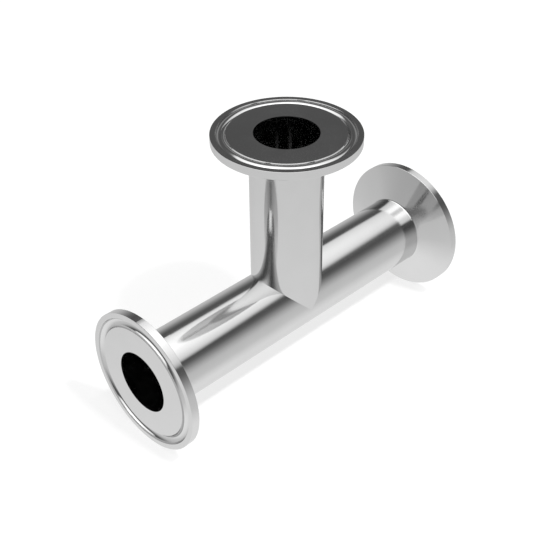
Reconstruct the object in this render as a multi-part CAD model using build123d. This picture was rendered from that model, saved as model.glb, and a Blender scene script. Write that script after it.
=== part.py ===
from build123d import *
from math import radians, tan
import os

# Sanitary clamp tee for 1 inch tube, in millimetres. The run lies along X, the
# branch stands up along +Z, and the origin is where their axes cross. Two pieces
# of one tube are mitred into each other, and a turned ferrule is butt welded to
# each of the three open ends, so that every port takes the same clamp.

# Tube stock, one size for the run and the branch
TUBE_OD = 25.4
TUBE_WALL = 1.65

# From the crossing of the axes to the weld line of each ferrule
RUN_ARM = 54.0
BRANCH_ARM = 54.0

# Turned weld ferrule
FERRULE_LENGTH = 12.7
FLANGE_OD = 50.5
RIM_WIDTH = 2.85
BACK_ANGLE = 20.0
NECK_FILLET = 0.6

# Half-round groove in the ferrule's face, which seats the bead of a gasket
GROOVE_RADIUS = 1.6
OUTER_LAND = 1.95

# Chamfer that takes the sharpness off the rim and off the groove's lips
EDGE_BREAK = 0.06

# Radii that follow from the stock
OUTER_RADIUS = TUBE_OD / 2
BORE_RADIUS = OUTER_RADIUS - TUBE_WALL
FLANGE_RADIUS = FLANGE_OD / 2

# From the origin to the face of each port
RUN_FACE = RUN_ARM + FERRULE_LENGTH
BRANCH_FACE = BRANCH_ARM + FERRULE_LENGTH


def tube_stock(start, end):
    """A length of tube about the Z axis, from one height to another."""
    with BuildPart() as stock:
        with BuildSketch(Plane.XY.offset(start)):
            Circle(OUTER_RADIUS)
            Circle(BORE_RADIUS, mode=Mode.SUBTRACT)
        extrude(amount=end - start)
    return stock.part


def mitre_sector():
    """The right-angled sector above the run's axis that belongs to the branch.

    Its two sides are the planes in which tubes of one diameter, crossing at
    right angles, meet each other both outside and inside.
    """
    reach = BRANCH_ARM + OUTER_RADIUS
    with BuildPart() as sector:
        with BuildSketch(Plane.XZ):
            Polygon((0, 0), (reach, reach), (-reach, reach), align=None)
        extrude(amount=TUBE_OD, both=True)
    return sector.part


def run_tube():
    """The straight tube, notched down to its axis for the branch."""
    straight = Rot(0, 90, 0) * tube_stock(-RUN_ARM, RUN_ARM)
    return straight - mitre_sector()


def branch_tube():
    """The side tube, cut to the right-angled point that fills the notch."""
    return tube_stock(0, BRANCH_ARM) & mitre_sector()


def corner(sketch, radius, height):
    """The corner of a half section that lies at a radius and a height."""
    return sketch.vertices().sort_by_distance((radius, height))[0]


def ferrule_section():
    """Half section of a ferrule, with its face at height 0 and its neck below."""
    cone_drop = (FLANGE_RADIUS - OUTER_RADIUS) * tan(radians(BACK_ANGLE))
    cone_foot = -RIM_WIDTH - cone_drop
    groove_outside = FLANGE_RADIUS - OUTER_LAND
    groove_centre = groove_outside - GROOVE_RADIUS
    groove_inside = groove_centre - GROOVE_RADIUS

    with BuildSketch(Plane.XZ) as section:
        with BuildLine():
            Polyline(
                (BORE_RADIUS, 0),
                (FLANGE_RADIUS, 0),
                (FLANGE_RADIUS, -RIM_WIDTH),
                (OUTER_RADIUS, cone_foot),
                (OUTER_RADIUS, -FERRULE_LENGTH),
                (BORE_RADIUS, -FERRULE_LENGTH),
                close=True,
            )
        make_face()
        fillet(corner(section, OUTER_RADIUS, cone_foot), NECK_FILLET)
        with Locations((groove_centre, 0)):
            Circle(GROOVE_RADIUS, mode=Mode.SUBTRACT)
        for radius, height in (
            (FLANGE_RADIUS, -RIM_WIDTH),
            (FLANGE_RADIUS, 0),
            (groove_outside, 0),
            (groove_inside, 0),
        ):
            chamfer(corner(section, radius, height), EDGE_BREAK)
    return section.sketch


def weld_ferrule():
    """One turned ferrule about the Z axis, facing up."""
    return revolve(ferrule_section(), Axis.Z)


def tee_pieces():
    """Every piece of the tee by name, each where it is welded."""
    ferrule = weld_ferrule()
    return {
        "run_tube": run_tube(),
        "branch_tube": branch_tube(),
        "left_ferrule": Pos(-RUN_FACE, 0, 0) * Rot(0, -90, 0) * ferrule,
        "right_ferrule": Pos(RUN_FACE, 0, 0) * Rot(0, 90, 0) * ferrule,
        "branch_ferrule": Pos(0, 0, BRANCH_FACE) * ferrule,
    }


os.makedirs("parts", exist_ok=True)
for name, piece in tee_pieces().items():
    piece.label = name
    export_step(piece, f"parts/{name}.step")
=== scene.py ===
import logging
from dataclasses import dataclass
from enum import Enum
from math import cos, radians, sin
from typing import Optional, Union

import bpy
from mathutils import Matrix, Vector


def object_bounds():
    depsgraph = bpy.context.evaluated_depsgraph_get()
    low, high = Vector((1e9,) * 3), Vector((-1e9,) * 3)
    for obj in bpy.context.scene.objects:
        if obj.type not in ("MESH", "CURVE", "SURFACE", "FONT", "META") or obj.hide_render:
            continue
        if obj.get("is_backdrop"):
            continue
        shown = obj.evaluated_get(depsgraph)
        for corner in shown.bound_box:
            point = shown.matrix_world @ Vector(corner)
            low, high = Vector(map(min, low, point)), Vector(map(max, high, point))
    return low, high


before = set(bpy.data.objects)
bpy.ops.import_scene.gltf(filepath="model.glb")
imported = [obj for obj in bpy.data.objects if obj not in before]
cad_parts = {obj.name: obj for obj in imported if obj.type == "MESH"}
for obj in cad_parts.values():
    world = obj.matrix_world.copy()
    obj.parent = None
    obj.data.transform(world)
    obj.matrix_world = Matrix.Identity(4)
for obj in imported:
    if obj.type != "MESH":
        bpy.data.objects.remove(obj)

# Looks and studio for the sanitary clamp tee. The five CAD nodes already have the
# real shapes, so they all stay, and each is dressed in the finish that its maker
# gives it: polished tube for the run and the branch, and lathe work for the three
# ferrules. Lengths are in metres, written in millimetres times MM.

log = logging.getLogger("clamp_tee")

MM = 0.001

# The noise values between which a drifting grey or polish goes from least to most
CLOUD_LOW = 0.3
CLOUD_HIGH = 0.7

# How many finer layers the drift and the tool's marks have
CLOUD_DETAIL = 3.0
MARK_DETAIL = 2.0

# What an input may be fed with: another node's output, or a plain number
Feed = Union[bpy.types.NodeSocket, float]

# How bright the surroundings are at some elevations, in degrees from the horizon
Levels = tuple[tuple[float, float], ...]


class Lathe(Enum):
    """The axis that a piece was turned about, as the turn that lays it on Z."""

    RUN = (0.0, radians(-90.0), 0.0)
    BRANCH = (0.0, 0.0, 0.0)


class Bench:
    """A node tree that is wired by calling the arithmetic it stands for."""

    def __init__(self, tree: bpy.types.NodeTree) -> None:
        """Clears the tree.

        Args:
            tree: the material's or the world's own tree.
        """
        self.tree = tree
        tree.nodes.clear()

    def node(self, kind: str, **settings: object) -> bpy.types.Node:
        """Adds one node.

        Args:
            kind: the node's Blender type.
            settings: its properties by name.

        Returns:
            The new node.
        """
        made = self.tree.nodes.new(kind)
        for name, value in settings.items():
            setattr(made, name, value)
        return made

    def feed(self, socket: bpy.types.NodeSocket, value: object) -> None:
        """Gives an input a link or a constant.

        Args:
            socket: the input.
            value: another node's output, a number, a colour or a vector.
        """
        if isinstance(value, bpy.types.NodeSocket):
            self.tree.links.new(value, socket)
        else:
            socket.default_value = value

    def math(self, operation: str, a: Feed, b: Optional[Feed] = None) -> bpy.types.NodeSocket:
        """Does one step of arithmetic.

        Args:
            operation: the Math node's operation.
            a: the first value.
            b: the second value, where the operation has one.

        Returns:
            The result's socket.
        """
        made = self.node("ShaderNodeMath", operation=operation)
        self.feed(made.inputs[0], a)
        if b is not None:
            self.feed(made.inputs[1], b)
        return made.outputs[0]

    def weigh(self, a: Feed, weight_a: float, b: Feed, weight_b: float) -> bpy.types.NodeSocket:
        """Adds two values by weight.

        Args:
            a: the first value.
            weight_a: its weight.
            b: the second value.
            weight_b: its weight.

        Returns:
            The weighted sum's socket.
        """
        return self.math("ADD", self.math("MULTIPLY", a, weight_a), self.math("MULTIPLY", b, weight_b))

    def step(self, value: Feed, start: float, end: float, low: float, high: float) -> bpy.types.NodeSocket:
        """Makes a smooth step from one level to another.

        Args:
            value: what the step follows.
            start: the value at which it begins.
            end: the value at which it ends.
            low: the level before it.
            high: the level after it.

        Returns:
            The level's socket.
        """
        made = self.node("ShaderNodeMapRange", interpolation_type="SMOOTHSTEP")
        self.feed(made.inputs["Value"], value)
        made.inputs["From Min"].default_value = start
        made.inputs["From Max"].default_value = end
        made.inputs["To Min"].default_value = low
        made.inputs["To Max"].default_value = high
        return made.outputs["Result"]

    def noise(self, place: Feed, grain: float, detail: float) -> bpy.types.NodeSocket:
        """Makes smooth noise.

        Args:
            place: the vector that it is laid on.
            grain: the size of its patches, in metres.
            detail: how many finer layers it has.

        Returns:
            The noise's socket, about 0.5 on average.
        """
        made = self.node("ShaderNodeTexNoise")
        made.inputs["Scale"].default_value = 1.0 / grain
        made.inputs["Detail"].default_value = detail
        self.feed(made.inputs["Vector"], place)
        return made.outputs["Fac"]


@dataclass(frozen=True)
class SteelFinish:
    """Stainless steel with the marks of the tool or the belt that finished it.

    Attributes:
        name: the material's name.
        lathe: the axis that the marks run round.
        mark_pitch: the spacing of the marks, in metres.
        mark_depth: the depth of the marks, in metres.
        mark_wander: how far a mark strays from a true ring, as a share of its place.
        tint: the grey of the bare metal.
        edge_tint: the grey that a reflection takes where the metal is seen edge on.
        tint_swing: how much the grey differs from place to place.
        roughness: how far the polish spreads a reflection.
        roughness_swing: how much the polish differs from place to place.
        cloud_grain: the size of those places, in metres.
    """

    name: str
    lathe: Lathe
    mark_pitch: float
    mark_depth: float
    mark_wander: float = 0.04
    tint: float = 0.69
    edge_tint: float = 0.85
    tint_swing: float = 0.008
    roughness: float = 0.10
    roughness_swing: float = 0.015
    cloud_grain: float = 9.0 * MM

    def material(self) -> bpy.types.Material:
        """Makes the finish.

        Returns:
            The finished material.
        """
        made = bpy.data.materials.new(self.name)
        made.use_nodes = True
        bench = Bench(made.node_tree)
        laid = self.lay_on_lathe(bench)
        cloud = bench.noise(laid, self.cloud_grain, CLOUD_DETAIL)
        steel = bench.node("ShaderNodeBsdfPrincipled")
        steel.inputs["Metallic"].default_value = 1.0
        bench.feed(steel.inputs["Base Color"], self.swing(bench, cloud, self.tint, self.tint_swing))
        steel.inputs["Specular Tint"].default_value = (self.edge_tint, self.edge_tint, self.edge_tint, 1.0)
        bench.feed(steel.inputs["Roughness"], self.swing(bench, cloud, self.roughness, self.roughness_swing))
        bench.feed(steel.inputs["Normal"], self.tool_marks(bench, laid))
        out = bench.node("ShaderNodeOutputMaterial")
        bench.feed(out.inputs["Surface"], steel.outputs["BSDF"])
        return made

    def lay_on_lathe(self, bench: Bench) -> bpy.types.NodeSocket:
        """Turns the piece's own coordinates so that its axis lies on Z.

        Args:
            bench: the material's tree.

        Returns:
            The turned coordinates.
        """
        place = bench.node("ShaderNodeTexCoord")
        laid = bench.node("ShaderNodeMapping")
        bench.feed(laid.inputs["Rotation"], self.lathe.value)
        bench.feed(laid.inputs["Vector"], place.outputs["Object"])
        return laid.outputs["Vector"]

    def swing(self, bench: Bench, cloud: Feed, middle: float, reach: float) -> bpy.types.NodeSocket:
        """Lets a value drift about its middle.

        Args:
            bench: the material's tree.
            cloud: the noise that it follows.
            middle: the value on average.
            reach: how far it drifts each way.

        Returns:
            The drifting value.
        """
        return bench.step(cloud, CLOUD_LOW, CLOUD_HIGH, middle - reach, middle + reach)

    def tool_marks(self, bench: Bench, laid: Feed) -> bpy.types.NodeSocket:
        """Cuts fine rings, which lie by radius on a face and by height on a wall.

        Args:
            bench: the material's tree.
            laid: coordinates with the lathe's axis on Z.

        Returns:
            The marked surface's normal.
        """
        split = bench.node("ShaderNodeSeparateXYZ")
        bench.feed(split.inputs["Vector"], laid)
        across = bench.math("MULTIPLY", split.outputs["X"], split.outputs["X"])
        along = bench.math("MULTIPLY", split.outputs["Y"], split.outputs["Y"])
        rings = bench.node("ShaderNodeCombineXYZ")
        bench.feed(rings.inputs["X"], bench.math("SQRT", bench.math("ADD", across, along)))
        bench.feed(rings.inputs["Y"], bench.math("MULTIPLY", split.outputs["X"], self.mark_wander))
        bench.feed(rings.inputs["Z"], split.outputs["Z"])
        marks = bench.node("ShaderNodeBump")
        marks.inputs["Distance"].default_value = self.mark_depth
        height = bench.noise(rings.outputs["Vector"], self.mark_pitch, MARK_DETAIL)
        bench.feed(marks.inputs["Height"], height)
        return marks.outputs["Normal"]


def dress_node(piece: bpy.types.Object, finish: SteelFinish) -> None:
    """Puts a finish on a CAD node, whose shape is left as it is.

    Args:
        piece: the node's object.
        finish: the finish that it gets.
    """
    material = finish.material()
    for slot in piece.material_slots:
        slot.material = material
    log.info("%s is dressed in %s", piece.name, finish.name)


@dataclass
class TubeWork:
    """The run and the branch, one stock of tube that a belt polished round and round.

    Attributes:
        belt_pitch: the spacing of the belt's marks, in metres.
        belt_depth: the depth of the belt's marks, in metres.
    """

    belt_pitch: float = 0.30 * MM
    belt_depth: float = 0.0006 * MM

    def dress(self, nodes: dict[str, bpy.types.Object]) -> None:
        """Gives both tubes their polish.

        Args:
            nodes: the frame's nodes by name.
        """
        for node, lathe in (("run_tube", Lathe.RUN), ("branch_tube", Lathe.BRANCH)):
            finish = SteelFinish(f"belt_polished_{node}", lathe, self.belt_pitch, self.belt_depth)
            dress_node(nodes[node], finish)


@dataclass
class FerruleSet:
    """The three turned ferrules, all from one lathe.

    Attributes:
        feed_pitch: how far the turning tool moved in one turn, in metres.
        feed_depth: the depth of the marks that it left, in metres.
    """

    feed_pitch: float = 0.18 * MM
    feed_depth: float = 0.0005 * MM

    def dress(self, nodes: dict[str, bpy.types.Object]) -> None:
        """Gives the ferrules their turned finish.

        Args:
            nodes: the frame's nodes by name.
        """
        places = (
            ("left_ferrule", Lathe.RUN),
            ("right_ferrule", Lathe.RUN),
            ("branch_ferrule", Lathe.BRANCH),
        )
        for node, lathe in places:
            finish = SteelFinish(f"turned_{node}", lathe, self.feed_pitch, self.feed_depth)
            dress_node(nodes[node], finish)


@dataclass
class ProductCamera:
    """The camera at the photograph's viewing angle.

    Attributes:
        azimuth: degrees round the tee, from the side that looks along +Y.
        elevation: degrees above the horizon.
        roll: degrees that the picture is turned.
        place: where the lens stands, in metres.
        focal_length: in millimetres.
        sensor_width: in millimetres.
        nearest: the shortest distance that it sees, in metres.
    """

    azimuth: float = -44.257
    elevation: float = 36.300
    roll: float = -0.300
    place: tuple[float, float, float] = (-0.213968, -0.213789, 0.234295)
    focal_length: float = 68.96
    sensor_width: float = 36.0
    nearest: float = 10.0 * MM

    def build(self) -> None:
        """Makes the camera and gives it to the scene."""
        data = bpy.data.cameras.new("product_camera")
        data.lens = self.focal_length
        data.sensor_width = self.sensor_width
        data.clip_start = self.nearest
        camera = bpy.data.objects.new("product_camera", data)
        bpy.context.scene.collection.objects.link(camera)
        aim = Matrix.Rotation(radians(self.azimuth), 4, "Z")
        tip = Matrix.Rotation(radians(90.0 - self.elevation), 4, "X")
        turn = Matrix.Rotation(radians(self.roll), 4, "Z")
        camera.matrix_world = Matrix.Translation(Vector(self.place)) @ aim @ tip @ turn
        bpy.context.scene.camera = camera
        log.info("the camera stands at %s", self.place)


@dataclass
class LightTent:
    """The soft surroundings that the steel mirrors, with a square light overhead.

    The floor's light fades towards the horizon and the walls are dark above it. The
    overhead light is laid out on a level ceiling: a place on it is its distance from
    the middle, over the ceiling's height. Right above the tee it is dimmer, so that a
    level face seen from straight above keeps its grey.

    Attributes:
        walls: the brightness of floor and walls by elevation.
        ceiling: the brightness of the overhead light by elevation.
        brightest: what full white on the two scales above stands for.
        lowest: the elevation below which the ceiling isn't laid out any further.
        lean: the share by which the light gets brighter, over a ceiling's height to its left.
        turn: degrees that the overhead light is turned.
        left: where its left side lies on the ceiling.
        right: where its right side lies.
        front: where its front side lies.
        back: where its back side lies.
        soft_edge: half the width over which a side fades.
        shade: how much of the tent falls on matt surfaces such as the floor.
    """

    walls: Levels = (
        (-90.0, 1.041), (-50.0, 0.988), (-40.0, 0.890), (-28.0, 0.750), (-8.0, 0.678),
        (2.0, 0.534), (12.0, 0.330), (22.0, 0.150), (29.0, 0.102), (37.0, 0.130), (90.0, 0.130),
    )
    ceiling: Levels = (
        (38.0, 0.96), (48.0, 1.21), (60.0, 1.50), (70.0, 2.10), (80.0, 2.10), (84.5, 1.15), (90.0, 1.15),
    )
    brightest: float = 2.5
    lowest: float = 3.0
    lean: float = 0.13
    turn: float = -15.0
    left: float = -1.12
    right: float = 1.105
    front: float = -0.99
    back: float = 1.06
    soft_edge: float = 0.18
    shade: float = 0.38

    def build(self) -> None:
        """Makes the world, which the camera itself sees as white."""
        world = bpy.data.worlds.new("light_tent")
        bpy.context.scene.world = world
        world.use_nodes = True
        bench = Bench(world.node_tree)
        place = bench.node("ShaderNodeTexCoord")
        split = bench.node("ShaderNodeSeparateXYZ")
        bench.feed(split.inputs["Vector"], place.outputs["Generated"])
        x, y, z = (split.outputs[axis] for axis in "XYZ")
        walls = self.by_elevation(bench, z, self.walls)
        ceiling = self.by_elevation(bench, z, self.ceiling)
        overhead = bench.math("MULTIPLY", ceiling, self.panel(bench, x, y, z))
        mirrored = bench.math("MAXIMUM", walls, overhead)
        path = bench.node("ShaderNodeLightPath")
        matt = bench.step(path.outputs["Is Diffuse Ray"], 0.0, 1.0, 1.0, self.shade)
        tent = self.background(bench, bench.math("MULTIPLY", mirrored, matt))
        white = self.background(bench, 1.0)
        mix = bench.node("ShaderNodeMixShader")
        bench.feed(mix.inputs["Fac"], path.outputs["Is Camera Ray"])
        bench.feed(mix.inputs[1], tent)
        bench.feed(mix.inputs[2], white)
        out = bench.node("ShaderNodeOutputWorld")
        bench.feed(out.inputs["Surface"], mix.outputs["Shader"])
        log.info("the light tent is up")

    def background(self, bench: Bench, strength: Feed) -> bpy.types.NodeSocket:
        """Makes white light.

        Args:
            bench: the world's tree.
            strength: how bright it is.

        Returns:
            The background's socket.
        """
        made = bench.node("ShaderNodeBackground")
        bench.feed(made.inputs["Color"], (1.0, 1.0, 1.0, 1.0))
        bench.feed(made.inputs["Strength"], strength)
        return made.outputs["Background"]

    def by_elevation(self, bench: Bench, height: Feed, levels: Levels) -> bpy.types.NodeSocket:
        """Lays brightness out by elevation.

        Args:
            bench: the world's tree.
            height: the upward part of the direction, from -1 to 1.
            levels: pairs of elevation and brightness, from the lowest up.

        Returns:
            The brightness.
        """
        ramp = bench.node("ShaderNodeValToRGB")
        stops = ramp.color_ramp.elements
        while len(stops) < len(levels):
            stops.new(1.0)
        for stop, (elevation, brightness) in zip(stops, levels):
            share = brightness / self.brightest
            stop.position = (sin(radians(elevation)) + 1.0) / 2.0
            stop.color = (share, share, share, 1.0)
        bench.feed(ramp.inputs["Fac"], bench.weigh(height, 0.5, 1.0, 0.5))
        return bench.math("MULTIPLY", ramp.outputs["Color"], self.brightest)

    def panel(self, bench: Bench, x: Feed, y: Feed, z: Feed) -> bpy.types.NodeSocket:
        """Cuts the overhead light's outline out of the ceiling.

        Args:
            bench: the world's tree.
            x: the direction's part along the run.
            y: the direction's part across the run.
            z: the direction's upward part.

        Returns:
            A mask, 0 beside the light and about 1 on it, which rises to the left.
        """
        upward = bench.math("MAXIMUM", z, sin(radians(self.lowest)))
        c, s = cos(radians(self.turn)), sin(radians(self.turn))
        across = bench.math("DIVIDE", bench.weigh(x, c, y, s), upward)
        away = bench.math("DIVIDE", bench.weigh(y, c, x, -s), upward)
        mask = None
        for place, low, high in ((across, self.left, self.right), (away, self.front, self.back)):
            near_side = bench.step(place, low - self.soft_edge, low + self.soft_edge, 0.0, 1.0)
            far_side = bench.step(place, high - self.soft_edge, high + self.soft_edge, 1.0, 0.0)
            strip = bench.math("MULTIPLY", near_side, far_side)
            mask = strip if mask is None else bench.math("MINIMUM", mask, strip)
        return bench.math("MULTIPLY", mask, bench.weigh(across, -self.lean, 1.0, 1.0))


@dataclass
class ShadowLamp:
    """A lamp that draws the tee's shadow. The polished steel doesn't mirror it.

    Attributes:
        name: the lamp's name.
        slant: degrees that it stands above the floor, seen along the run.
        lean: degrees that it stands towards the right end of the run.
        length: along the run, in metres.
        depth: across the run, in metres.
        power: in watts.
        distance: how far it stands from the tee, in metres.
    """

    name: str
    slant: float
    lean: float
    length: float
    depth: float
    power: float
    distance: float = 3.0

    def build(self) -> None:
        """Makes the lamp."""
        data = bpy.data.lights.new(self.name, "AREA")
        data.shape = "RECTANGLE"
        data.size = self.length
        data.size_y = self.depth
        data.energy = self.power
        data.specular_factor = 0.0
        lamp = bpy.data.objects.new(self.name, data)
        lamp.visible_glossy = False
        bpy.context.scene.collection.objects.link(lamp)
        tip = Matrix.Rotation(radians(90.0 - self.slant), 4, "X")
        lean = Matrix.Rotation(radians(self.lean), 4, "Y")
        away = Matrix.Translation(Vector((0.0, 0.0, self.distance)))
        lamp.matrix_world = tip @ lean @ away
        log.info("%s shines", self.name)


@dataclass
class StudioFloor:
    """The plain white floor on which the rims of the run stand.

    Attributes:
        height: the floor's height, in metres.
        width: the length of each side, in metres.
        paint: the grey of its paint, which takes the shadow.
        glow: what the camera sees on top of the paint, so that the open floor is white.
    """

    height: float
    width: float = 1.2
    paint: float = 0.30
    glow: float = 0.735

    def build(self) -> None:
        """Lays the floor."""
        bpy.ops.object.select_all(action="DESELECT")
        bpy.ops.mesh.primitive_plane_add(size=self.width, location=(0.0, 0.0, self.height))
        floor = bpy.context.active_object
        floor.name = "studio_floor"
        floor.visible_glossy = False
        floor.data.materials.append(self.material())
        floor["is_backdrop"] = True
        log.info("the floor lies at %.2f mm", self.height / MM)

    def material(self) -> bpy.types.Material:
        """Makes the floor's paint.

        Returns:
            The finished material.
        """
        made = bpy.data.materials.new("white_floor")
        made.use_nodes = True
        bench = Bench(made.node_tree)
        paint = bench.node("ShaderNodeBsdfDiffuse")
        bench.feed(paint.inputs["Color"], (self.paint, self.paint, self.paint, 1.0))
        path = bench.node("ShaderNodeLightPath")
        glow = bench.node("ShaderNodeEmission")
        bench.feed(glow.inputs["Strength"], bench.math("MULTIPLY", path.outputs["Is Camera Ray"], self.glow))
        both = bench.node("ShaderNodeAddShader")
        bench.feed(both.inputs[0], paint.outputs["BSDF"])
        bench.feed(both.inputs[1], glow.outputs["Emission"])
        out = bench.node("ShaderNodeOutputMaterial")
        bench.feed(out.inputs["Surface"], both.outputs["Shader"])
        return made


def main() -> None:
    """Dresses the tee, then sets up the studio round it."""
    logging.basicConfig(level=logging.INFO)
    cad_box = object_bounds()
    TubeWork().dress(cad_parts)
    FerruleSet().dress(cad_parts)
    StudioFloor(height=cad_box[0][2]).build()
    LightTent().build()
    ShadowLamp("key_lamp", slant=61.0, lean=4.5, length=0.2, depth=0.2, power=33.0).build()
    ShadowLamp("light_bank", slant=61.0, lean=0.0, length=8.6, depth=0.2, power=98.0).build()
    ProductCamera().build()
    bpy.context.scene.view_settings.view_transform = "Standard"


if __name__ == "__main__":
    main()
